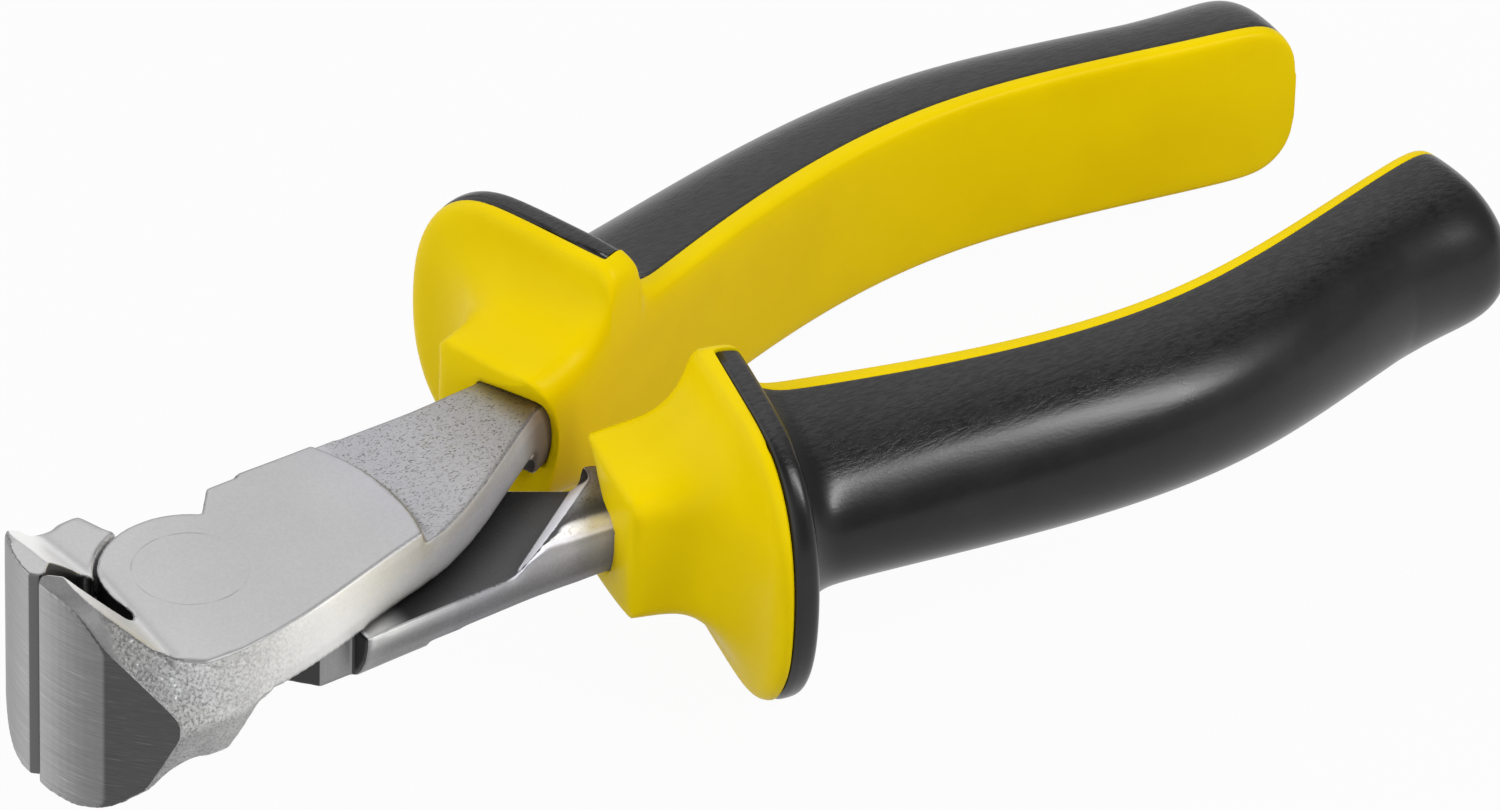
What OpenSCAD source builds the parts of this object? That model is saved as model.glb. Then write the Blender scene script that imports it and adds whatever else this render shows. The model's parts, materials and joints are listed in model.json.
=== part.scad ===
// End cutting nippers: two forged halves on a flush rivet, each with a two-part moulded handle.
// Worked out about the pivot: +X to the handles, +Z up, the joint plane at z = 0, jaws closed.
// The lower half and its handle are the upper ones turned half round about X.

/* [Overall] */
// Length from the jaw front to the handle ends
overall_length = 160; // [150:1:180]
// Distance from the pivot to the jaw front
jaw_reach = 17.9; // [17:0.1:21]

/* [Jaws] */
// Length of the cutting edge
edge_length = 24.1; // [22:0.1:27]
// Width across both jaws, at the middle of their height
jaw_width = 29; // [28:0.2:32]
// Inward slope of the flanks above the middle, in mm for each mm of height
flank_slope = 0.78; // [0.7:0.01:0.9]
// Inward slope of the flanks below the middle, in mm for each mm of height
heel_slope = 0.4; // [0.3:0.01:0.5]
// Rounding of the flanks at the middle
flank_round = 3.6; // [2:0.1:5]
// Rounding of the toe of each jaw
toe_round = 7; // [4:0.1:8]
// Rounding of the top of each jaw
crown_round = 6.2; // [5:0.1:7]
// Half width of the curved front
front_half_width = 8.7; // [8:0.1:9.4]
// How far the front falls back from the middle to the side facet
front_fall = 2.3; // [1.5:0.1:3]
// Run of the slanted side facet of each jaw, along the tool
facet_run = 5.1; // [4:0.1:6]
// Rounding between the front and the side facet
front_round = 3; // [1:0.1:4]
// Depth of the notch ground along the seam
seam_notch = 0.8; // [0.4:0.1:1.2]
// Half width of that notch
seam_notch_half = 0.8; // [0.3:0.1:1.2]
// Depth of the land on which the cutting edges meet
edge_land = 0.5; // [0.3:0.1:2]
// Half width of the throat behind the cutting edges
throat_half = 4.5; // [4:0.1:5]
// Distance from the pivot at which the jaw tops start to rise
ramp_start = 7.1; // [6.6:0.1:8]
// Radius of the hollow at the foot of the jaw ramps
ramp_radius = 4; // [3:0.1:5]
// Steepness of the jaw ramps, in degrees
ramp_angle = 44; // [42:1:48]
// Turn of the jaw ramps, seen from above, in degrees
ramp_turn = -5; // [-8:1:-2]
// Space between the closed jaws
jaw_gap = 0.1; // [0.05:0.01:0.2]

/* [Joint] */
// Thickness of the joint across both laps
joint_thickness = 11.6; // [10:0.2:13]
// Space between the laps
lap_gap = 0.1; // [0.05:0.01:0.2]
// Radius of the round boss of each lap
boss_radius = 9; // [8.4:0.1:9.4]
// Space between a boss and the other jaw
boss_gap = 0.4; // [0.3:0.05:0.6]
// Angle of the step that stops the opening, from the handle side
stop_angle = 50; // [46:1:54]
// Opening of the joint, in degrees
opening_angle = 40; // [30:1:42]
// Angle to spare when the joint is wide open
stop_spare = 3; // [2:1:6]
// Sweep of the hollow at the heel of each jaw, in degrees
heel_sweep = 17; // [12:1:20]
// Depth of that hollow below the joint plane
heel_depth = 6.8; // [6:0.1:8]
// Diameter of the rivet
rivet_diameter = 8; // [6:0.2:9]
// Diameter of the countersunk rivet head
head_diameter = 10.8; // [10:0.2:12]
// Depth of the rivet head
head_depth = 1.6; // [1.2:0.1:2.2]
// Radial space between the rivet and its bore
rivet_gap = 0.05; // [0.02:0.01:0.1]
// Radius of the ground joint face
plate_radius = 23.2; // [21:0.1:26]

/* [Shanks] */
// Half width of each lap on the jaw side, measured from the pivot
lap_near = 13.1; // [12.6:0.1:13.6]
// Half width of each lap on the handle side, measured from the pivot
lap_far = 10; // [9.6:0.1:10.4]
// Thickness of the shanks
shank_thickness = 9.2; // [8.6:0.1:10]
// How far the forged flank swells past the lap on the jaw side
near_swell = 1.4; // [0.8:0.1:1.8]
// How far the forged flank swells past the lap on the handle side
far_swell = 2.6; // [1.5:0.1:3]
// Distance from the pivot to the end of the milled side flat
flat_end = 12.2; // [11.5:0.1:14]
// Distance along the tool to the middle of the ridge under the shank
ridge_reach = 33.3; // [32:0.1:36]
// Turn of that ridge, in degrees
ridge_angle = 34; // [28:1:38]
// Slope of the ridge wall, as run for each mm of height
ridge_slope = 0.75; // [0.5:0.05:1]
// Height of the ridge at the collar
ridge_height = 3.2; // [2.6:0.1:3.8]
// Rounding of the outer edge of the shank, on the ridge side
under_round = 3; // [2:0.1:4]
// Length of steel inside the handle
tang_length = 82; // [60:1:84]
// Width of the tang
tang_width = 6.4; // [5.5:0.1:7]
// Thickness of the tang
tang_thickness = 7.6; // [6:0.1:8.4]
// Space between the tang and the moulding
tang_gap = 0.04; // [0.02:0.01:0.1]

/* [Handles] */
// Distance from the pivot to the collar
collar_reach = 42.8; // [40:0.2:46]
// Distance from the middle of the tool to the collar
collar_inset = 3.2; // [2.8:0.1:4]
// Width of the collar
collar_width = 14.3; // [13:0.1:15.5]
// Height of the collar
collar_height = 15.2; // [14:0.1:17]
// Depth of the scallop in the collar front, on the inner face
scallop_depth = 3; // [1:0.1:3.6]
// Length from the collar front to the guard flange
collar_length = 12.4; // [11:0.1:15]
// Distance from the middle of the tool to the guard flange
flange_inset = 6.8; // [6:0.1:8]
// Width of the guard flange
flange_width = 26.8; // [24:0.1:29]
// Height of the guard flange
flange_height = 31; // [28:0.2:34]
// Thickness of the yellow rim of the flange
rim_thickness = 1.6; // [1:0.1:2]
// Thickness of the black backing of the flange
backing_thickness = 3; // [2.5:0.1:4]
// Height of the handles
grip_height = 18.4; // [17:0.1:20]
// Distance from the middle of the tool to the inner face, where the handle bows out most
bow_inset = 18.1; // [16:0.1:20]
// Distance from the pivot to that place
bow_reach = 102; // [96:1:108]
// Width of the handle behind the flange
waist_width = 17.6; // [16:0.1:19]
// Width of the handle where it bows out most
bow_width = 13.9; // [13:0.1:16]
// Width of the handle before its end
tail_width = 12.4; // [12:0.1:14]
// Width of the handle at its end
end_width = 14.4; // [13:0.1:15.5]
// Distance from the middle of the tool to the inner face at the handle end
end_inset = 11.4; // [9:0.1:14]
// Rounding of the handle end
end_round = 5.2; // [4:0.1:6]
// Rounding of the inner edges along the handle
inner_round = 0.9; // [0.4:0.1:1.2]
// Rounding of the inner edges at the flange
flange_round = 2.1; // [1.4:0.1:2.4]
// Thickness of the yellow inner layer at the flange
layer_front = 2.3; // [1.8:0.1:2.6]
// Thickness of the yellow inner layer at the handle end
layer_end = 1.5; // [1.3:0.1:2]
// Thickness of the black overmould
skin_thickness = 2.5; // [2:0.1:2.8]

/* [Hidden] */
$fn = 96;

far_away = 80;
half_joint = joint_thickness/2;
handle_end = overall_length - jaw_reach;
flange_reach = collar_reach + collar_length;
tang_end = collar_reach + tang_length;
jaw_stop_angle = stop_angle + opening_angle + stop_spare + heel_sweep;

// A smooth curve through stations of the form [place, value, slope]
function segment_of(stations, x, i = 0) =
    i >= len(stations) - 2 || x < stations[i + 1][0] ? i : segment_of(stations, x, i + 1);
function hermite(a, b, t) =
    let (run = b[0] - a[0])
    (1 + 2*t)*pow(1 - t, 2)*a[1] + t*pow(1 - t, 2)*run*a[2]
    + t*t*(3 - 2*t)*b[1] + t*t*(t - 1)*run*b[2];
function along(stations, x) =
    let (i = segment_of(stations, x), a = stations[i], b = stations[i + 1])
    let (t = max(0, min(1, (x - a[0])/(b[0] - a[0]))))
    hermite(a, b, t);

// Faces between rings that have as many points each, counted from a first point on
function skin_faces(rings, count, first = 0, turn = false) = [
    for (r = [0 : rings - 2], p = [0 : count - 1])
        let (a = first + r*count + p, b = first + r*count + (p + 1) % count)
        let (c = a + count, d = b + count)
        each turn ? [[a, d, b], [a, c, d]] : [[a, c, b], [b, c, d]]];
function span(from, to) = [for (i = [from : from < to ? 1 : -1 : to]) i];
function reversed(list) = [for (i = span(len(list) - 1, 0)) list[i]];
function lifted(faces, by) = [for (f = faces) [for (i = f) i + by]];
function flipped(faces) = [for (f = faces) reversed(f)];

// Closed skin over a list of rings. The cap is the list of faces that closes a ring.
module loft(rings, cap, turn = false) {
    count = len(rings[0]);
    polyhedron(
        [for (ring = rings) each ring],
        concat(
            cap, flipped(lifted(cap, (len(rings) - 1)*count)),
            skin_faces(len(rings), count, 0, turn)));
}

// The same with a blind pocket, closed in front by the faces between ring and pocket
module pocketed_loft(rings, pocket, front, end_cap, pocket_cap) {
    count = len(rings[0]);
    first = len(rings)*count;
    sides = len(pocket[0]);
    polyhedron(
        [for (ring = concat(rings, pocket)) each ring],
        concat(
            front,
            flipped(lifted(end_cap, first - count)),
            lifted(pocket_cap, first + (len(pocket) - 1)*sides),
            skin_faces(len(rings), count),
            flipped(skin_faces(len(pocket), sides, first))));
}

// Triangles between two loops round one middle, taking the next point of either by its bearing
function bearing(p, middle, zero) = (atan2(p[1] - middle[1], p[0] - middle[0]) - zero + 720) % 360;
function zipped(a, b, i = 0, j = 0) =
    i == len(a) - 1 && j == len(b) - 1 ? [] :
    j == len(b) - 1 || (i < len(a) - 1 && a[i + 1][1] < b[j + 1][1])
        ? concat([[a[i][0], a[i + 1][0], b[j][0]]], zipped(a, b, i + 1, j))
        : concat([[a[i][0], b[j + 1][0], b[j][0]]], zipped(a, b, i, j + 1));
function closed_loop(outline, first, start, middle, zero) =
    concat(
        [for (i = [0 : len(outline) - 1])
            let (k = (start + i) % len(outline))
            [first + k, bearing(outline[k], middle, zero)]],
        [[first + start, 360]]);

// Handle curves, by the place along the inner face
inner_line = [
    [collar_reach, collar_inset, 0.2],
    [flange_reach, flange_inset, 0.35],
    [bow_reach, bow_inset, 0],
    [handle_end, end_inset, -0.13]];
collar_tilt = 12;
tilt_line = [
    [collar_reach, collar_tilt, 0],
    [flange_reach, 15, 0.1],
    [bow_reach, 0, -0.5],
    [handle_end, -6, 0.2]];
width_line = [
    [flange_reach, waist_width + 1.5, -0.2],
    [flange_reach + 9, waist_width, -0.2],
    [bow_reach, bow_width, -0.05],
    [handle_end - 14, tail_width, 0],
    [handle_end, end_width, 0.05]];
layer_line = [[flange_reach, layer_front, 0], [handle_end, layer_end, 0]];
fillet_length = 5;
round_line = [
    [collar_reach, flange_round, 0],
    [flange_reach + backing_thickness, flange_round, 0],
    [flange_reach + backing_thickness + fillet_length, inner_round, 0],
    [handle_end, inner_round, 0]];

// A point of the handle: place along the inner face, distance out from that face, height
function handle_point(x, out, z) =
    let (tilt = along(tilt_line, x))
    [x - out*sin(tilt), along(inner_line, x) + out*cos(tilt), z];
function handle_ring(x, outline) = [for (p = outline) handle_point(x, p[0], p[1])];

// Outer half of a section: a rounded D from the bottom to the top
arc_steps = 6;
function power(value, exponent) = sign(value)*pow(abs(value), exponent);
function d_arc(start, width, half, square) =
    [for (i = [0 : 2*arc_steps])
        let (angle = -90 + 90*i/arc_steps)
        [start + (width - start)*power(max(0, cos(angle)), 2/square), half*power(sin(angle), 2/square)]];
// Inner half of a section, from the top of the layer over the slightly crowned inner face to the bottom
face_crown = 0.05;
round_margin = 0.15;
function inner_edge(x, half) =
    let (layer = along(layer_line, x), r = min(along(round_line, x), layer - round_margin, half/2))
    concat(
        [[layer, half]],
        [for (a = [90, 135, 180]) [r + r*cos(a), half - r + r*sin(a)]],
        [for (t = [0.5, 0, -0.5]) [-face_crown*(1 - t*t), t*(half - r)]],
        [for (a = [180, 225, 270]) [r + r*cos(a), -half + r + r*sin(a)]],
        [[layer, -half]]);

// Outer size of the handle section: [width, half height, start of the round, squareness]
grip_half = grip_height/2;
flange_half = flange_height/2;
collar_half = collar_height/2;
flange_start = flange_width - 11.8;
grip_start = 3;
collar_start = 4;
neck_length = 4.8;
lip_length = 0.5;
flare_length = collar_length - rim_thickness - neck_length;
flare_places = [0, 22, 42, 60, 74, 84];

function between(a, b, t) = a + (b - a)*t;
function mixed(a, b, t) = [for (i = [0 : len(a) - 1]) between(a[i], b[i], t)];
collar_size = [collar_width, collar_half, collar_start, 7];
collar_lip = [collar_width - 1, collar_half - 0.8, collar_start, 7];
neck_size = [collar_width + 0.6, collar_half + 0.5, collar_start, 5];
flange_size = [flange_width, flange_half, flange_start, 2.3];
flange_lip = [flange_width - 0.4, flange_half - 0.3, flange_start, 2.3];
function grip_size(x) = [along(width_line, x), grip_half, grip_start, 2.1];

// Sections in front of the parting, as [place, size]
collar_sections = concat(
    [[collar_reach, collar_lip],
     [collar_reach + lip_length, collar_size],
     [collar_reach + neck_length, neck_size]],
    [for (a = flare_places)
        if (a > 0)
            [collar_reach + neck_length + flare_length*sin(a), mixed(neck_size, flange_lip, 1 - cos(a))]],
    [[flange_reach - rim_thickness*0.6, mixed(flange_lip, flange_size, 0.7)],
     [flange_reach, flange_size]]);

// Sections behind the parting, as [place, size]
bond_step = 0.05;
backing_end = flange_reach + backing_thickness;
function waist_size(x, t) = mixed(grip_size(x), flange_lip, t);
backing_sections = concat(
    [[flange_reach + bond_step, flange_size],
     [backing_end - 1, flange_size],
     [backing_end - 0.3, mixed(flange_size, grip_size(backing_end), 0.08)],
     [backing_end, mixed(flange_size, grip_size(backing_end), 0.25)]],
    [for (a = [20, 45, 70, 90])
        let (x = backing_end + fillet_length*(1 - cos(a)))
        [x, waist_size(x, 0.55*(1 - sin(a)))]]);
grip_front = backing_end + fillet_length;
grip_back = handle_end - end_round;
grip_steps = 16;
grip_sections = [for (i = [1 : grip_steps])
    let (x = between(grip_front, grip_back, i/grip_steps))
    [x, grip_size(x)]];
end_sections = [for (a = [25, 45, 65, 85])
    let (x = grip_back + end_round*sin(a), size = grip_size(x), drop = end_round*(1 - cos(a)))
    [x, [size[0] - drop, size[1] - drop, size[2], size[3]]]];
rear_sections = concat(backing_sections, grip_sections, end_sections);

// Core of the yellow moulding round the tang, inside the black overmould
function core_arc(x, size, depth) =
    let (layer = along(layer_line, x), width = along(width_line, x) - skin_thickness)
    let (half = (grip_half - skin_thickness)*min(1, size[1]/grip_half))
    [for (p = d_arc(layer, width, half, 2.6))
        [layer + depth*(p[0] - layer), p[1]]];
function size_arc(size) = d_arc(size[2], size[0], size[1], size[3]);

// How far the collar front steps back at a point of its outline: full at the middle of the inner face
scallop_reach = 5;
function scallop(p) =
    scallop_depth*max(0, 1 - pow(p[1]/collar_half, 2))*max(0, 1 - p[0]/scallop_reach);
function collar_ring(x, size) =
    let (fade = max(0, 1 - max(0, x - collar_reach - lip_length)/(neck_length - lip_length)))
    [for (p = front_outline(x, size)) handle_point(x + fade*scallop(p), p[0], p[1])];

function front_outline(x, size) =
    concat(size_arc(size), inner_edge(x, size[1]));
function layer_outline(x, size, depth) =
    concat(core_arc(x, size, depth), inner_edge(x, size[1]));
function grip_outline(x, size, depth) =
    let (layer = along(layer_line, x))
    concat([[layer, -size[1]]], size_arc(size), [[layer, size[1]]], reversed(core_arc(x, size, depth)));

// Sections behind the parting as [place, size, depth of the core]. The core ends square behind the tang
// and leaves a low key along the layer.
core_wall = 2;
square_step = 0.05;
key_depth = 0.04;
core_sections = concat(
    [for (s = rear_sections) if (s[0] < tang_end + core_wall) [s[0], s[1], 1]],
    [for (step = [0, 1])
        let (x = tang_end + core_wall + step*square_step)
        [x, grip_size(x), between(1, key_depth, step)]],
    [for (s = rear_sections) if (s[0] > tang_end + core_wall + square_step) [s[0], s[1], key_depth]]);

// Steel: edges of the forged blank, by the place along the near edge
collar_wall = 0.7;
tang_wall = 3.3;
tang_line = [[collar_reach, collar_wall, 0], [flange_reach, tang_wall, 0], [handle_end, tang_wall, 0]];
near_line = [
    [-jaw_reach + 7, -lap_near + 3.5, -1.5],
    [-5, -lap_near, 0],
    [plate_radius - 2, -lap_near + 5.8, 0.24],
    [collar_reach, collar_inset + collar_wall, 0.6]];
shank_width = 7.6;
far_line = [
    [0, lap_far, 0],
    [plate_radius, lap_far - 0.4, 0],
    [collar_reach, collar_inset + collar_wall + shank_width, 0.1]];
half_line = [
    [0, half_joint + 0.6, 0],
    [plate_radius, half_joint + 0.6, 0],
    [collar_reach, shank_thickness/2, 0],
    [flange_reach, tang_thickness/2, 0],
    [tang_end, tang_thickness/2 - 0.6, 0]];
under_line = [
    [plate_radius, half_joint + 0.6, 0],
    [collar_reach, ridge_height, 0],
    [flange_reach, tang_thickness/2, 0],
    [tang_end, tang_thickness/2 - 0.6, 0]];
under_round_line = [
    [plate_radius, 0, 0],
    [ridge_reach, under_round, 0],
    [collar_reach, under_round, 0],
    [flange_reach, 1, 0],
    [tang_end, 1, 0]];
swell_line = [
    [plate_radius, 1, 0],
    [collar_reach, 0.35, 0],
    [flange_reach, 0.2, 0],
    [tang_end, 0.2, 0]];
tang_width_line = [
    [collar_reach, shank_width, 0],
    [flange_reach, tang_width, 0],
    [tang_end, tang_width - 0.8, 0]];
steel_tilt_line = [[plate_radius, 0, 0], [collar_reach, collar_tilt, 0]];

function near_edge(x) =
    x < collar_reach
        ? along(near_line, x)
        : along(inner_line, x) + along(tang_line, x)*cos(along(tilt_line, x));
function steel_tilt(x) = x < collar_reach ? along(steel_tilt_line, x) : along(tilt_line, x);
function steel_width(x) =
    x < collar_reach ? (along(far_line, x) - near_edge(x))/cos(steel_tilt(x)) : along(tang_width_line, x);
// Heights of the points on a flank, and its bulge there
flank_steps = 8;
flank_places = [for (i = [0 : flank_steps]) 1 - 2*i/flank_steps];
function bulge(t) = 1 - pow(abs(t), 2.5);
// One section of the blank, grown by a clearance, as [distance across, height]
function steel_outline(x, grow = 0) =
    let (width = steel_width(x), over = along(half_line, x) + grow, under = along(under_line, x) + grow)
    let (near = near_swell*along(swell_line, x), far = far_swell*along(swell_line, x))
    let (fall = along(under_round_line, x))
    concat(
        [for (t = flank_places) [-grow - near*bulge(t), t*(t > 0 ? over : under)]],
        [for (t = reversed(flank_places))
            [width + grow + far*bulge(t) - fall*pow(max(0, -t), 3), t*(t > 0 ? over : under)]]);
function steel_ring(x, grow = 0) =
    let (tilt = steel_tilt(x), start = x < collar_reach ? 0 : along(tang_line, x)*sin(tilt))
    [for (p = steel_outline(x, grow))
        [x - start - p[0]*sin(tilt), near_edge(x) + p[0]*cos(tilt), p[1]]];
steel_cap = [span(0, len(steel_outline(0)) - 1)];

blank_places = concat(
    [for (i = [0 : 8]) between(-jaw_reach + 7, plate_radius - 2, i/8)],
    [for (i = [1 : 6]) between(plate_radius - 2, collar_reach, i/6)]);
tang_places = [for (i = [1 : 7]) between(collar_reach, tang_end, i/7)];
pocket_places = concat([collar_reach], tang_places);

module forged_blank() {
    loft([for (x = concat(blank_places, tang_places)) steel_ring(x)], steel_cap);
}

function polar(r, a) = [r*cos(a), r*sin(a)];
function round_corner(a, b, c, r, steps = 6) =
    let (u = (a - b)/norm(a - b), v = (c - b)/norm(c - b))
    let (half_turn = acos(u*v)/2, reach = r/tan(half_turn))
    let (middle = b + (u + v)/norm(u + v)*r/sin(half_turn))
    let (from = b + u*reach - middle, to = b + v*reach - middle)
    let (start = atan2(from[1], from[0]), sweep = (atan2(to[1], to[0]) - start + 540) % 360 - 180)
    [for (i = [0 : steps]) middle + polar(r, start + sweep*i/steps)];

// Jaw seen from above: seam notch, curved front, side facet, flank
jaw_half = jaw_width/2;
front_steps = 8;
function front_point(t) = [-jaw_reach + front_fall*t*t, -between(seam_notch_half, front_half_width, t)];
facet_tip = [-jaw_reach + front_fall + facet_run, -jaw_half];
jaw_outline = concat(
    [[0, -jaw_gap/2], [-jaw_reach + seam_notch, -jaw_gap/2]],
    [for (i = [0 : front_steps - 1]) front_point(i/front_steps)],
    round_corner(front_point(1 - 1/front_steps), front_point(1), facet_tip, front_round, 3),
    [facet_tip, [0, -jaw_half]]);

// Jaw seen from the front, out from the seam: rounded toe, rounded flank, rounded top
flank_lean = atan(flank_slope);
heel_lean = atan(heel_slope);
half_edge = edge_length/2;
flank_corner = [
    jaw_half + flank_round*(cos((flank_lean - heel_lean)/2)/cos((flank_lean + heel_lean)/2) - 1), 0];
toe_corner = [flank_corner[0] - heel_slope*half_edge, -half_edge];
crown_corner = [flank_corner[0] - flank_slope*half_edge, half_edge];
jaw_section = concat(
    [[-1, half_edge], [-1, -half_edge]],
    round_corner([-1, -half_edge], toe_corner, flank_corner, toe_round, 8),
    round_corner(toe_corner, flank_corner, crown_corner, flank_round, 5),
    round_corner(flank_corner, crown_corner, [-1, half_edge], crown_round, 6));

module jaw_blank() {
    intersection() {
        linear_extrude(edge_length, center = true)
            polygon(jaw_outline);
        rotate([90, 0, -90])
            linear_extrude(2*jaw_reach, center = true)
                polygon(jaw_section);
    }
}

// Steel kept in the lower layer behind the jaw: it falls off to the joint plane in a hollow curve
heel_steps = 6;
heel_root = 4;
function heel_height(t) = -heel_depth*pow(1 - t, 1.2);
function heel_ring(r) = concat(
    [[polar(r, -jaw_stop_angle - heel_root), 1], [polar(r, -jaw_stop_angle - heel_root), -heel_depth]],
    [for (i = [0 : heel_steps])
        [polar(r, -jaw_stop_angle + heel_sweep*i/heel_steps), heel_height(i/heel_steps)]],
    [[polar(r, -jaw_stop_angle + heel_sweep), 1]]);
module heel_hollow() {
    rings = [for (r = [boss_radius - 1, 2*jaw_half]) [for (p = heel_ring(r)) [p[0][0], p[0][1], p[1]]]];
    loft(rings, [for (i = [1 : len(rings[0]) - 2]) [0, i, i + 1]]);
}

// Hollow and ramp from the joint face up to the land behind the cutting edge
module ramp_cut() {
    foot = [-ramp_start, half_joint];
    slope_start = foot + [0, ramp_radius] + polar(ramp_radius, 270 - ramp_angle);
    rotate(ramp_turn)
        rotate([90, 0, 0]) {
            translate(foot + [0, ramp_radius])
                cylinder(r = ramp_radius, h = far_away, center = true);
            linear_extrude(far_away, center = true)
                polygon([
                    foot, [far_away, half_joint], [far_away, far_away],
                    slope_start + polar(far_away/2, 180 - ramp_angle), slope_start]);
        }
}

// Everything of the upper layer that belongs to the other jaw
module upper_clearance() {
    difference() {
        linear_extrude(far_away)
            polygon([
                [0, -jaw_gap/2], polar(far_away, stop_angle),
                [-far_away, far_away], [-far_away, -jaw_gap/2]]);
        cylinder(r = boss_radius, h = 3*far_away, center = true);
    }
}

relief_run = 0.2;
// Everything of the lower layer that belongs to the other lap, as far as the ridge and the collar
module lower_clearance() {
    top = lap_gap/2;
    difference() {
        translate([ridge_reach, lap_far - 0.6, 0])
            rotate([90, 0, 90 - ridge_angle])
                linear_extrude(2*far_away, center = true)
                    polygon([
                        [0, top], [-2*far_away, top],
                        [-2*far_away, -far_away], [ridge_slope*far_away, -far_away]]);
        translate([0, 0, -2*far_away])
            linear_extrude(3*far_away)
                polygon([
                    [0, -jaw_gap/2], [-far_away, -jaw_gap/2], [-far_away, -far_away],
                    polar(far_away, -jaw_stop_angle)]);
        translate([collar_reach, collar_inset, 0])
            rotate(collar_tilt)
                translate([relief_run, -far_away, -2*far_away])
                    cube([2*far_away, 2*far_away, 3*far_away]);
        heel_hollow();
    }
    translate([0, 0, top - far_away])
        cylinder(r = boss_radius + boss_gap, h = far_away);
}

// Half of the drop-shaped space behind the cutting edges, with a round end at the boss
throat_tip = -jaw_reach + seam_notch + edge_land;
throat_back = -boss_radius - boss_gap;
throat_round = 1.2;
throat_steps = 6;
function throat_point(t) =
    [between(throat_tip, throat_back, t), -between(jaw_gap/2, throat_half, 1 - pow(1 - t, 1.5))];
module throat_cut() {
    inner_end = [-boss_radius + 1, -throat_half/3];
    difference() {
        linear_extrude(far_away, center = true)
            polygon(concat(
                [[throat_tip, 1]],
                [for (i = [0 : throat_steps - 1]) throat_point(i/throat_steps)],
                round_corner(throat_point(1 - 1/throat_steps), throat_point(1), inner_end, throat_round, 4),
                [inner_end, [inner_end[0], 1]]));
        cylinder(r = boss_radius, h = far_away);
    }
}

module rivet_bore() {
    cylinder(d = rivet_diameter + 2*rivet_gap, h = far_away, center = true);
    translate([0, 0, half_joint - head_depth])
        cylinder(d1 = rivet_diameter + 2*rivet_gap, d2 = head_diameter + 2*rivet_gap, h = head_depth);
}

// One half in the place of the upper one
module forged_half() {
    difference() {
        union() {
            forged_blank();
            jaw_blank();
            cylinder(r = boss_radius, h = half_joint);
        }
        ramp_cut();
        mirror([0, 0, 1])
            ramp_cut();
        difference() {
            translate([0, -far_away/2, shank_thickness/2])
                cube([far_away, far_away, far_away]);
            cylinder(r = plate_radius, h = far_away);
        }
        upper_clearance();
        lower_clearance();
        throat_cut();
        translate([-far_away + flat_end, lap_far, -far_away/2])
            cube(far_away);
        rivet_bore();
    }
}

module collar_moulding() {
    rings = concat(
        [for (s = collar_sections) collar_ring(s[0], s[1])],
        [for (s = core_sections) handle_ring(s[0], layer_outline(s[0], s[1], s[2]))]);
    full_pocket = [for (x = pocket_places) steel_ring(x, tang_gap)];
    count = len(rings[0]);
    outer = front_outline(collar_reach, collar_lip);
    inner = [for (p = steel_outline(collar_reach, tang_gap)) [p[0] + collar_wall, p[1]]];
    mouth = [for (i = [0 : len(inner) - 1])
        mixed(full_pocket[0][i], full_pocket[1][i], scallop(inner[i])/(pocket_places[1] - pocket_places[0]))];
    pocket = concat([mouth], [for (i = [1 : len(full_pocket) - 1]) full_pocket[i]]);
    middle = [collar_wall + shank_width/2, 0];
    zero = bearing(outer[0], middle, 0);
    far_bottom = flank_steps + 1;
    lower_edge = count - 3;
    pocketed_loft(
        rings, pocket,
        zipped(
            closed_loop(outer, 0, 0, middle, zero),
            closed_loop(inner, len(rings)*count, far_bottom, middle, zero)),
        [concat(span(lower_edge, count - 1), span(0, lower_edge - 1))],
        steel_cap);
}

module grip_overmould() {
    rings = [for (s = core_sections) handle_ring(s[0], grip_outline(s[0], s[1], s[2]))];
    arc = 2*arc_steps + 1;
    last = len(rings[0]) - 1;
    cap = concat(
        [[0, 1, last], [arc, arc + 1, arc + 2]],
        [for (i = [1 : arc - 1]) each [[i, i + 1, last - i], [i, last - i, last + 1 - i]]]);
    loft(rings, cap, true);
}

// From the pivot to the part's own origin, under the middle of the tool
module in_place() {
    translate([jaw_reach - overall_length/2, 0, flange_half])
        children();
}

module turned_over() {
    rotate([180, 0, 0])
        children();
}

module upper_half() {
    color("silver")
        in_place()
            forged_half();
}

module lower_half() {
    color("lightgray")
        in_place()
            turned_over()
                forged_half();
}

module pivot_rivet() {
    color("gainsboro")
        in_place() {
            cylinder(d = rivet_diameter, h = joint_thickness, center = true);
            for (side = [0, 1])
                mirror([0, 0, side])
                    translate([0, 0, half_joint - head_depth])
                        cylinder(d1 = rivet_diameter, d2 = head_diameter, h = head_depth);
        }
}

module upper_collar() {
    color("gold")
        in_place()
            collar_moulding();
}

module lower_collar() {
    color("gold")
        in_place()
            turned_over()
                collar_moulding();
}

module upper_grip() {
    color("dimgray")
        in_place()
            grip_overmould();
}

module lower_grip() {
    color("dimgray")
        in_place()
            turned_over()
                grip_overmould();
}

upper_half();
lower_half();
pivot_rivet();
upper_collar();
lower_collar();
upper_grip();
lower_grip();
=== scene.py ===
import json
import math

import bpy
from mathutils import Matrix, Vector

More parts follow.
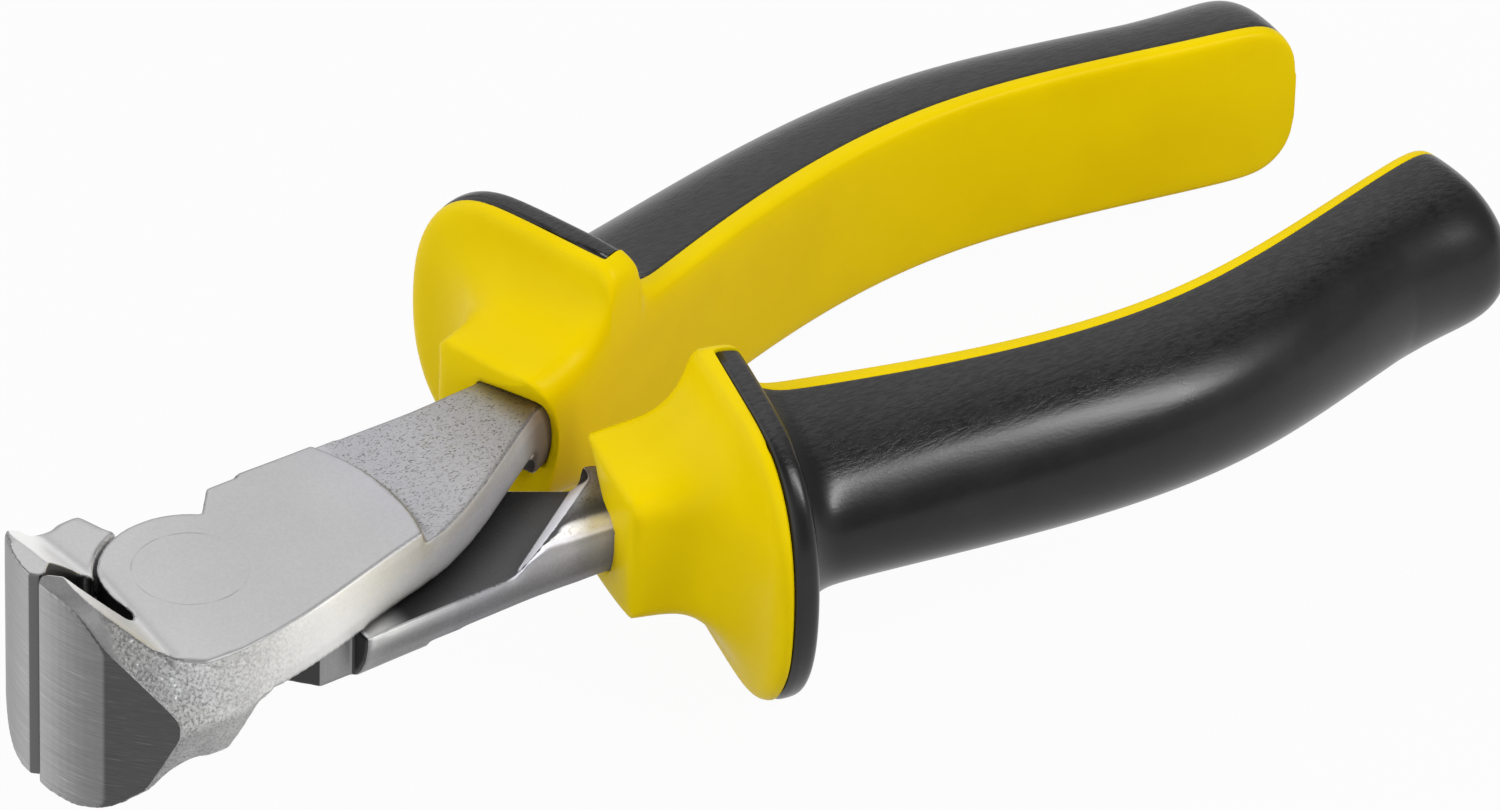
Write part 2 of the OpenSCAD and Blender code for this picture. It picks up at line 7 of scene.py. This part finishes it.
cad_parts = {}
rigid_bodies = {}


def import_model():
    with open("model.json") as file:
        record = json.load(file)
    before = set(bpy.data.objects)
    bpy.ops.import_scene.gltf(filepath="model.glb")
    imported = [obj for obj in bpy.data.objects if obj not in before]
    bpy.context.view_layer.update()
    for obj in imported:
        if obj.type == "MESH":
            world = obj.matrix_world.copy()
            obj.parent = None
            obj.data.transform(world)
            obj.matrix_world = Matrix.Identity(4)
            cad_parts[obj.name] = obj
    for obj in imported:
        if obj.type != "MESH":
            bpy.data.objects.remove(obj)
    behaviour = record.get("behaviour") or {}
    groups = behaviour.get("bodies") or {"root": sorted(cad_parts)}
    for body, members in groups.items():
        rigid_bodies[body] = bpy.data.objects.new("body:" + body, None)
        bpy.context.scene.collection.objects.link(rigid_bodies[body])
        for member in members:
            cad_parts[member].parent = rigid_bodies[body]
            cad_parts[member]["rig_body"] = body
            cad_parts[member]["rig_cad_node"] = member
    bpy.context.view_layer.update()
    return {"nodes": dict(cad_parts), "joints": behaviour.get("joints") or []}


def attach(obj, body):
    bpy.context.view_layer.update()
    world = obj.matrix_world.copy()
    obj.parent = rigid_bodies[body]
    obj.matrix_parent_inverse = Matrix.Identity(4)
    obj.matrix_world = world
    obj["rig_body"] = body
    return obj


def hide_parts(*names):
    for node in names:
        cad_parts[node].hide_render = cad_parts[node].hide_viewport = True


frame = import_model()
pivot = Vector(frame["joints"][0]["pos_m"])
mm = 0.001
print("frame loaded, pivot at", [round(v, 4) for v in pivot])


# camera, fitted to the photograph's view
cameraSettings = {
    "target": (0.00347, -0.00068, 0.01476),
    "azimuth": 36.35,
    "elevation": 36.26,
    "roll": 1.8,
    "distance": 1.34905,
    "lens": 328.45,
}


def placeCamera(s):
    turn, rise, roll = (math.radians(s[k]) for k in ("azimuth", "elevation", "roll"))
    back = Vector((-math.sin(turn) * math.cos(rise), -math.cos(turn) * math.cos(rise), math.sin(rise)))
    right = Vector((math.cos(turn), -math.sin(turn), 0))
    up = back.cross(right)
    side = right * math.cos(roll) + up * math.sin(roll)
    top = up * math.cos(roll) - right * math.sin(roll)
    eye = Vector(s["target"]) + back * s["distance"]
    bpy.ops.object.camera_add()
    camera = bpy.context.object
    camera.matrix_world = Matrix((
        (side.x, top.x, back.x, eye.x),
        (side.y, top.y, back.y, eye.y),
        (side.z, top.z, back.z, eye.z),
        (0, 0, 0, 1)))
    camera.data.lens = s["lens"]
    camera.data.sensor_fit = "HORIZONTAL"
    camera.data.sensor_width = 36
    camera.data.clip_start = 0.1
    camera.data.clip_end = 20
    bpy.context.scene.camera = camera


placeCamera(cameraSettings)
print("camera placed")


# shader maths as Python expressions
class Wire:
    def __init__(self, finish, socket):
        self.finish, self.socket = finish, socket

    def calc(self, operation, first, second=0.0):
        return self.finish.node("ShaderNodeMath", {"operation": operation}, {0: first, 1: second})

    def __add__(self, other): return self.calc("ADD", self, other)
    def __radd__(self, other): return self.calc("ADD", other, self)
    def __sub__(self, other): return self.calc("SUBTRACT", self, other)
    def __rsub__(self, other): return self.calc("SUBTRACT", other, self)
    def __mul__(self, other): return self.calc("MULTIPLY", self, other)
    def __rmul__(self, other): return self.calc("MULTIPLY", other, self)
    def __pow__(self, other): return self.calc("POWER", self, other)
    def __abs__(self): return self.calc("ABSOLUTE", self)

    def toward(self, other, share): return self + (other - self) * share

    def ease(self, low, high):
        return self.finish.node(
            "ShaderNodeMapRange", {"interpolation_type": "SMOOTHSTEP"},
            {"Value": self, "From Min": low, "From Max": high, "To Min": 0.0, "To Max": 1.0})


class Finish:
    def __init__(self, name):
        self.material = bpy.data.materials.new(name)
        self.material.use_nodes = True
        self.tree = self.material.node_tree
        self.shader = self.tree.nodes["Principled BSDF"]

    def node(self, kind, settings=None, sockets=None, out=0):
        made = self.tree.nodes.new(kind)
        for key, value in (settings or {}).items():
            setattr(made, key, value)
        for key, value in (sockets or {}).items():
            self.feed(made.inputs[key], value)
        return Wire(self, made.outputs[out])

    def feed(self, socket, value):
        if isinstance(value, Wire):
            self.tree.links.new(value.socket, socket)
        else:
            socket.default_value = value

    def set(self, **sockets):
        for key, value in sockets.items():
            self.feed(self.shader.inputs[key.replace("_", " ")], value)

    # place on the piece in millimetres from the pivot
    def place(self, scale=(1, 1, 1), turn=(0, 0, 0)):
        here = self.node("ShaderNodeTexCoord", out="Object")
        moved = self.node("ShaderNodeMapping", None, {
            "Vector": here, "Location": tuple(-v * 1000 for v in pivot), "Scale": (1000, 1000, 1000)})
        return self.node("ShaderNodeMapping", None, {"Vector": moved, "Rotation": turn, "Scale": scale})

    def parts(self, vector):
        split = self.tree.nodes.new("ShaderNodeSeparateXYZ")
        self.feed(split.inputs[0], vector)
        return [Wire(self, o) for o in split.outputs]

    def facing(self):
        return self.parts(self.node("ShaderNodeTexCoord", out="Normal"))

    def noise(self, where, scale, detail, rough):
        return self.node("ShaderNodeTexNoise", None, {
            "Vector": where, "Scale": scale, "Detail": detail, "Roughness": rough})

    def blend(self, factor, first, second):
        return self.node("ShaderNodeMix", {"data_type": "RGBA"}, {0: factor, 6: first, 7: second}, out=2)

    # height in millimetres
    def bump(self, height):
        return self.node("ShaderNodeBump", None, {"Height": height, "Strength": 1.0, "Distance": mm})


# small helpers for modelling
def pick(piece):
    bpy.ops.object.select_all(action="DESELECT")
    piece.select_set(True)
    bpy.context.view_layer.objects.active = piece


def copyOf(nodeName, pieceName):
    source = frame["nodes"][nodeName]
    piece = source.copy()
    piece.data = source.data.copy()
    piece.parent = None
    piece.name = pieceName
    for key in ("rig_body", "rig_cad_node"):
        if key in piece:
            del piece[key]
    bpy.context.scene.collection.objects.link(piece)
    pick(piece)
    bpy.ops.object.mode_set(mode="EDIT")
    bpy.ops.mesh.select_all(action="SELECT")
    bpy.ops.mesh.remove_doubles(threshold=2e-6)
    bpy.ops.object.mode_set(mode="OBJECT")
    return piece


def finishWith(piece, kind, **settings):
    pick(piece)
    modifier = piece.modifiers.new(kind, kind)
    for key, value in settings.items():
        setattr(modifier, key, value)
    bpy.ops.object.modifier_apply(modifier=modifier.name)


def dress(piece, finish):
    piece.data.materials.clear()
    piece.data.materials.append(finish.material)


# moulded handles: the solids' rings made round by subdivision
handleSettings = {
    "sharpFrom": 58,      # degrees, corners that stay crisp
    "crease": 0.8,
    "levels": 2,
}


def mouldHandle(nodeName, pieceName, s):
    piece = copyOf(nodeName, pieceName)
    bpy.ops.object.mode_set(mode="EDIT")
    bpy.ops.mesh.select_all(action="SELECT")
    bpy.ops.mesh.tris_convert_to_quads(face_threshold=math.pi, shape_threshold=math.pi)
    bpy.ops.mesh.select_all(action="DESELECT")
    bpy.ops.mesh.select_mode(type="EDGE")
    bpy.ops.mesh.edges_select_sharp(sharpness=math.radians(s["sharpFrom"]))
    bpy.ops.transform.edge_crease(value=s["crease"])
    bpy.ops.object.mode_set(mode="OBJECT")
    finishWith(piece, "SUBSURF", levels=s["levels"], render_levels=s["levels"])
    bpy.ops.object.shade_smooth_by_angle(angle=math.radians(40))
    return piece


# forged halves: the jaw, lap and shank worked over finely, the hidden tang kept as it is
forgingSettings = {
    "voxel": 0.22 * mm,
    "cutAt": 48.5 * mm,      # along the tool from the pivot, inside the collar
    "overlap": 0.5 * mm,
    "smoothing": 3,
    "rounding": 34,          # further smoothing passes where the forging stays unground
}


def cutPiece(piece, at, keepFront):
    pick(piece)
    bpy.ops.object.mode_set(mode="EDIT")
    bpy.ops.mesh.select_all(action="SELECT")
    bpy.ops.mesh.bisect(
        plane_co=(pivot.x + at, 0, 0), plane_no=(1, 0, 0), use_fill=True,
        clear_outer=keepFront, clear_inner=not keepFront)
    bpy.ops.object.mode_set(mode="OBJECT")


def fade(value, low, high):
    t = min(1.0, max(0.0, (value - low) / (high - low)))
    return t * t * (3 - 2 * t)


# how far a place is left as forged, in millimetres from the pivot, up being the half's own outer side
def unground(x, y, z):
    shank = max(fade(x, 23.8, 24.8), fade(x, 12.5, 14) * fade(-z, -3.9, -3.1))
    shoulder = fade(x, -12, -10.5) * fade(-x, -2.5, -1) * fade(-z, -0.4, 0.6) * fade(abs(y), 9.2, 10.4)
    neck = fade(x, -10.4, -9.4) * fade(-x, 3, 4.5) * fade(abs(y), 8.6, 9.6)
    neck = neck * fade(z, 1, 2) * fade(-z, -6.2, -5.2)
    toe = fade(-z, 8, 9) * fade(abs(y), 5, 8)
    return max(shank, shoulder, neck, toe)


def roundForged(piece, up, s):
    shares = {}
    for v in piece.data.vertices:
        x, y, z = ((v.co - pivot) / mm)[:]
        shares.setdefault(round(unground(x, y, z * up), 1), []).append(v.index)
    group = piece.vertex_groups.new(name="unground")
    for share, members in shares.items():
        if share > 0:
            group.add(members, share, "REPLACE")
    finishWith(piece, "SMOOTH", factor=0.5, iterations=s["rounding"], vertex_group=group.name)
    piece.vertex_groups.clear()


def forgeHalf(nodeName, pieceName, s):
    piece = copyOf(nodeName, pieceName)
    cutPiece(piece, s["cutAt"], True)
    finishWith(piece, "REMESH", mode="VOXEL", voxel_size=s["voxel"], adaptivity=0.0)
    finishWith(piece, "SMOOTH", factor=0.5, iterations=s["smoothing"])
    roundForged(piece, 1 if nodeName == "upper_half" else -1, s)
    tang = copyOf(nodeName, pieceName + "Tang")
    cutPiece(tang, s["cutAt"] - s["overlap"], False)
    pick(piece)
    tang.select_set(True)
    bpy.ops.object.join()
    bpy.ops.object.shade_smooth_by_angle(angle=math.radians(50))
    return piece


# rivet: the solid's own shape under flush heads that close the gap round them
rivetSettings = {
    "radius": 5.72 * mm,
    "height": 0.12 * mm,
    "proud": 0.004 * mm,
    "bevel": 0.03 * mm,
}


def makeRivet(nodeName, pieceName, s):
    piece = copyOf(nodeName, pieceName)
    top = max(v.co.z for v in piece.data.vertices)
    bottom = min(v.co.z for v in piece.data.vertices)
    heads = []
    for level, side in ((top, 1), (bottom, -1)):
        bpy.ops.mesh.primitive_cylinder_add(
            vertices=128, radius=s["radius"], depth=s["height"],
            location=(pivot.x, pivot.y, level + side * (s["proud"] - s["height"] / 2)))
        head = bpy.context.object
        bpy.ops.object.transform_apply(location=True, rotation=True, scale=True)
        finishWith(head, "BEVEL", width=s["bevel"], segments=2, limit_method="ANGLE")
        heads.append(head)
    pick(piece)
    for head in heads:
        head.select_set(True)
    bpy.ops.object.join()
    bpy.ops.object.shade_smooth_by_angle(angle=math.radians(8))
    return piece


# finishes
steelSettings = {
    "ground": 0.525,
    "ramp": 1.0,
    "paintedCrownShade": 0.26,
    "front": 0.39,
    "paintedFrontSideShade": 0.5,     # painted shade: share of the front's tone left at its outer end
    "facet": 0.42,        # painted shade: share of that left on the facet
    "notch": 0.13,
    "throat": 0.1,
    "step": 0.05,
    "milled": 0.36,
    "flank": 0.9,
    "under": 0.27,        # painted shade on flanks that face down
    "ridge": 0.95,
    "paintedReliefShadow": 0.035,
    "darkest": 0.02,
    "roughness": 0.36,
    "rivet": 5.72,        # mm, radius of the faint line round the rivet head
    "plate": 23.2,        # mm, radius of the ground joint face
}


def makeSteel(name, s):
    f = Finish(name)
    flat = f.place()
    x, y, z = f.parts(flat)
    nx, ny, nz = f.facing()
    across = (x * x + y * y) ** 0.5
    # where the surface is ground, blasted or left as forged, and where shade and highlights are painted, by
    # place and facing
    level = abs(nz).ease(0.635, 0.7)
    steep = 1 - level
    forward = (0 - nx).ease(0.42, 0.52) * steep * (0 - x).ease(9, 10)
    # painted shade on the notch at the jaws' seam
    notch = forward * (1 - abs(y).ease(0.85, 1.0))
    paintedFrontSideShade = abs(ny).ease(0.0, 0.5) * abs(y).ease(1, 2)
    facet = abs(ny).ease(0.5, 0.62) * abs(y).ease(1, 2)
    # painted shade on the walls of the throat between the jaws
    throat = steep * (1 - forward) * (1 - abs(y).ease(4.4, 4.9)) * (0 - x).ease(7.4, 8)
    # painted shade on the step faces that face forward
    step = (0 - nx).ease(0.45, 0.65) * x.ease(3, 5)
    shank = x.ease(22.4, 23.4)
    low = 1 - abs(z).ease(2.6, 3.6)
    paintedReliefShadow = abs(nz).ease(0.86, 0.94) * low * x.ease(14, 18)
    # painted highlight on the crest of the ridge by the relief
    ridge = abs(nz).ease(0.4, 0.55) * (1 - abs(nz).ease(0.8, 0.9)) * low
    ridge = ridge * x.ease(28, 31) * (1 - x.ease(43, 44))
    # painted highlight on the ramps
    ramp = nx.ease(0.15, 0.4) * abs(nz).ease(0.2, 0.4) * (0 - x).ease(6, 8)
    # painted shade on the jaws' top land, for the dark sky it reflects
    paintedCrownShade = (1 - forward) * (1 - ramp) * (1 - throat)
    paintedCrownShade = paintedCrownShade * (0 - x).ease(14.0, 15.0) * (0 - y * z).ease(0, 5)
    # rounded edges of the flat faces, where painted shade takes down their highlight
    bend = level * (1 - abs(nz).ease(0.9, 0.98)) * (1 - ramp) * (1 - ridge)
    flank = steep * (1 - forward) * (1 - ramp) * (1 - throat) * (1 - step)
    # painted shade on flanks that face down
    under = flank * (0 - nz).ease(-0.15, 0.25) * (0.6 + x.ease(8, 16) * 0.4)
    coarse = (flank + bend * (0 - x).ease(8, 9)) * (1 - x.ease(-12, 10)) * (1 - paintedCrownShade)
    milled = abs(ny).ease(0.6, 0.8) * x.ease(6, 7) * (1 - x.ease(12.4, 13)) * (y * z).ease(0, 4)
    # satin all over, blasted grain on the flanks, pits on the shanks, drawn lines on the front
    satin = f.noise(flat, 3.2, 4, 0.6)
    grain = f.noise(flat, 3.0, 6, 0.72)
    rugged = grain.ease(0.36, 0.64)
    marks = 1 - grain.ease(0.34, 0.52)
    pits = f.noise(f.place(scale=(3.2, 5, 4)), 1.0, 3, 0.6).ease(0.54, 0.7) * shank * level
    # painted shade on the shank along the foot of the plate's edge
    paintedLipShade = (1 - (across - s["plate"]).ease(0.3, 1.2)) * shank * level
    ring = (1 - abs(across - s["rivet"]).ease(0.03, 0.12)) * level * abs(z).ease(5.4, 5.7)
    ring = ring * f.noise(flat, 0.25, 2, 0.5).ease(0.4, 0.65)
    lines = f.noise(f.place(scale=(0.5, 0.1, 8)), 1.0, 3, 0.6)
    drawn = f.noise(f.place(scale=(0.5, 0.1, 13), turn=(0.05, 0, 0)), 1.0, 2, 0.5).ease(0.62, 0.74)
    slant = f.noise(f.place(scale=(0.5, 0.12, 9), turn=(-0.5, 0, 0)), 1.0, 2, 0.5).ease(0.62, 0.76)
    scratch = drawn * (0.4 + facet * 0.6) + slant * (1 - facet)
    cloud = f.noise(flat, 0.1, 3, 0.5)
    tone = s["ground"] * (1 + (0 - x).ease(-6, 8) * 0.1 - x.ease(28, 42) * 0.22)
    tone = tone - pits * 0.3 - paintedLipShade * 0.25 - ring * 0.16
    blasted = s["flank"] * (1 - x.ease(8, 26) * 0.42) * (1 - (0 - x).ease(6, 14) * 0.3)
    tone = tone.toward(blasted, flank)
    mottle = 1 - coarse * ((1 - rugged) * 0.36 + marks * 0.3)
    tone = tone * mottle.toward(s["milled"] / s["flank"], milled)
    tone = tone.toward(s["under"], under) * (1 - bend * 0.3)
    tone = tone.toward(s["paintedCrownShade"], paintedCrownShade).toward(s["ramp"], ramp).toward(s["ridge"], ridge)
    tone = tone + (satin - 0.5) * 0.14 + (cloud - 0.5) * 0.08
    # drawn lines and scratches on the front, with painted shade toward its outer end and on the facet
    wornAndShadedFront = s["front"] + (lines - 0.5) * 0.28 + scratch * 0.26
    wornAndShadedFront = wornAndShadedFront * (1 - paintedFrontSideShade * (1 - s["paintedFrontSideShade"])) * (1 - facet * (1 - s["facet"]))
    tone = tone.toward(wornAndShadedFront, forward).toward(s["notch"], notch).toward(s["throat"], throat)
    # painted shadow on the relieved shank top, lighter toward its outer edge
    shadowed = s["paintedReliefShadow"] + (x * 0.5 + abs(y)).ease(19.5, 25) * 0.1 + (cloud - 0.5) * 0.04
    tone = tone.toward(s["step"], step).toward(shadowed, paintedReliefShadow)
    tone = tone.calc("MAXIMUM", tone, s["darkest"])
    # a little cooler on the shanks, browner where they enter the collars
    warm = x.ease(39.5, 43.5) * 0.4
    cool = 1.004 + x.ease(14, 26) * 0.06
    shade = f.node("ShaderNodeCombineColor", None, {
        0: tone * (1 - warm), 1: tone * (1 - warm * 1.25), 2: tone * (cool - warm * 1.6)})
    rough = s["roughness"] + satin * 0.05 + flank * 0.2 + shank * 0.1 + low * x.ease(12, 20) * 0.2
    rough = rough + paintedCrownShade * 0.12 + bend * 0.16 + forward * (lines - 0.5) * 0.1
    height = satin * 0.004 + coarse * rugged * 0.18 + (flank - coarse) * grain * 0.015
    height = height - pits * 0.05 + forward * (lines * 0.006 - scratch * 0.005)
    f.set(Base_Color=shade, Roughness=rough, Metallic=1.0, Normal=f.bump(height))
    return f


yellowSettings = {
    "shades": ((0.79, 0.58, 0.0, 1), (0.83, 0.62, 0.0, 1)),
    "roughness": 0.32,
    "specular": 0.05,
    "peel": 0.008,        # mm
}


def makeYellow(name, s):
    f = Finish(name)
    flat = f.place()
    cloud = f.noise(flat, 0.09, 3, 0.5)
    peel = f.noise(flat, 1.4, 2, 0.5)
    shade = f.blend(cloud.ease(0.3, 0.7), *s["shades"])
    f.set(
        Base_Color=shade, Roughness=s["roughness"] + cloud * 0.08, Specular_IOR_Level=s["specular"],
        Normal=f.bump(peel * s["peel"]))
    return f


blackSettings = {
    "tone": 0.004,
    "roughness": 0.25,
    "specular": 0.38,
    "grain": 0.006,       # mm
    "crease": 0.024,      # mm
}


def makeBlack(name, s):
    f = Finish(name)
    flat = f.place()
    along = f.place(scale=(1, 3, 3))
    cloud = f.noise(flat, 0.16, 4, 0.6)
    grain = f.noise(flat, 3.0, 3, 0.6)
    # creases lie on the upper and lower sides, and the outer side is smooth
    creased = 0.12 + abs(f.facing()[2]).ease(0.8, 0.97) * 0.88
    crease = f.noise(along, 0.8, 4, 0.65).ease(0.3, 0.7) * creased
    tone = s["tone"] + cloud.ease(0.4, 0.75) * 0.004 + crease * 0.016
    shade = f.node("ShaderNodeCombineColor", None, {0: tone, 1: tone, 2: tone})
    f.set(
        Base_Color=shade, Roughness=s["roughness"] + cloud * 0.07, Specular_IOR_Level=s["specular"],
        Normal=f.bump(grain * s["grain"] + crease * s["crease"]))
    return f


pieces = {}
for side in ("upper", "lower"):
    pieces[side + "_half"] = forgeHalf(side + "_half", side + "Forging", forgingSettings)
    print("forged", side, "half:", len(pieces[side + "_half"].data.polygons), "faces")
    pieces[side + "_collar"] = mouldHandle(side + "_collar", side + "Moulding", handleSettings)
    pieces[side + "_grip"] = mouldHandle(side + "_grip", side + "Overmould", handleSettings)
    print("moulded", side, "handle")

finishes = {
    "half": makeSteel("forgedSteel", steelSettings),
    "collar": makeYellow("yellowMoulding", yellowSettings),
    "grip": makeBlack("blackOvermould", blackSettings),
}
slots = {"half": "steel", "collar": "yellow", "grip": "black"}
for node, piece in pieces.items():
    side, kind = node.split("_")
    dress(piece, finishes[kind])
    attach(piece, side)
    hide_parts(node)
    side + "_" + slots[kind]
rivet = makeRivet("pivot_rivet", "flushRivet", rivetSettings)
dress(rivet, finishes["half"])
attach(rivet, "upper")
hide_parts("pivot_rivet")
print("finishes on")


# floor and soft studio light
studio = {
    "floorSize": 6.0,
    "floorTone": 0.42,
    "floorWhite": 0.96,
    "skyWay": (-0.85, 0.53, 0),  # level direction of the bright side of the sky
    "skyDark": 0.32,
    "skyBright": 1.6,
    "skyTop": 0.2,               # share of that which is left overhead
    "panelWay": (0.44, 0.37, 0.82),
    "panelBright": 0.7,          # soft panel above the far handle
    "duskWay": (0.26, 0.96, 0.14),
    "dusk": 0.7,                # share taken off the sky low behind the tool
    "lamps": [
        # name, place, aim, size, power
        ("keySoft", (0.5, -0.67, 0.89), (0, 0, 0), (0.12, 0.7), 8.2),
        ("lowSoft", (0.75, -0.9, 0.25), (0, 0, 0), (0.8, 0.4), 0.4),
    ],
}


def makeStudio(s):
    bpy.ops.mesh.primitive_plane_add(size=s["floorSize"], location=(0, 0, 0))
    floor = bpy.context.object
    floor.name = "floor"
    f = Finish("paleFloor")
    paper = f.noise(f.node("ShaderNodeTexCoord", out="Object"), 40, 3, 0.5)
    tone = s["floorTone"] + paper * 0.02
    f.set(Base_Color=f.node("ShaderNodeCombineColor", None, {0: tone, 1: tone, 2: tone}), Roughness=0.9)
    glow = f.node("ShaderNodeEmission", None, {"Color": (1, 1, 1, 1), "Strength": 1.0})
    paths = [f.node("ShaderNodeLightPath", out=kind) for kind in (
        "Is Camera Ray", "Is Glossy Ray", "Is Transmission Ray")]
    seen = paths[0].calc("MAXIMUM", paths[0], paths[1].calc("MAXIMUM", paths[1], paths[2])) * s["floorWhite"]
    mixed = f.node("ShaderNodeMixShader", None, {0: seen, 1: Wire(f, f.shader.outputs[0]), 2: glow})
    f.feed(f.tree.nodes["Material Output"].inputs["Surface"], mixed)
    dress(floor, f)

    world = bpy.data.worlds.new("studioSky")
    bpy.context.scene.world = world
    world.use_nodes = True
    w = Finish.__new__(Finish)
    w.tree = world.node_tree
    way = w.node("ShaderNodeTexCoord", out="Generated")
    side, panel, dusk = (
        w.node("ShaderNodeVectorMath", {"operation": "DOT_PRODUCT"}, {0: way, 1: s[key]}, "Value")
        for key in ("skyWay", "panelWay", "duskWay"))
    glow = side.ease(-0.7, 0.6) * (s["skyBright"] - s["skyDark"]) + s["skyDark"]
    glow = glow * (1 - w.parts(way)[2].ease(0.6, 0.9) * (1 - s["skyTop"]))
    glow = glow * (1 - dusk.ease(0.92, 0.99) * s["dusk"])
    glow = glow + panel.ease(0.93, 0.985) * s["panelBright"]
    tent = w.node("ShaderNodeBackground", None, {"Color": (1, 1, 1, 1), "Strength": glow})
    w.feed(w.tree.nodes["World Output"].inputs["Surface"], tent)

    for name, place, aim, size, power in s["lamps"]:
        bpy.ops.object.light_add(type="AREA", location=place)
        lamp = bpy.context.object
        lamp.name = name
        lamp.data.shape = "RECTANGLE"
        lamp.data.size, lamp.data.size_y = size
        lamp.data.energy = power
        lamp.rotation_euler = (Vector(place) - Vector(aim)).to_track_quat("Z", "Y").to_euler()


makeStudio(studio)
bpy.context.scene.view_settings.view_transform = "Standard"
print("studio set")
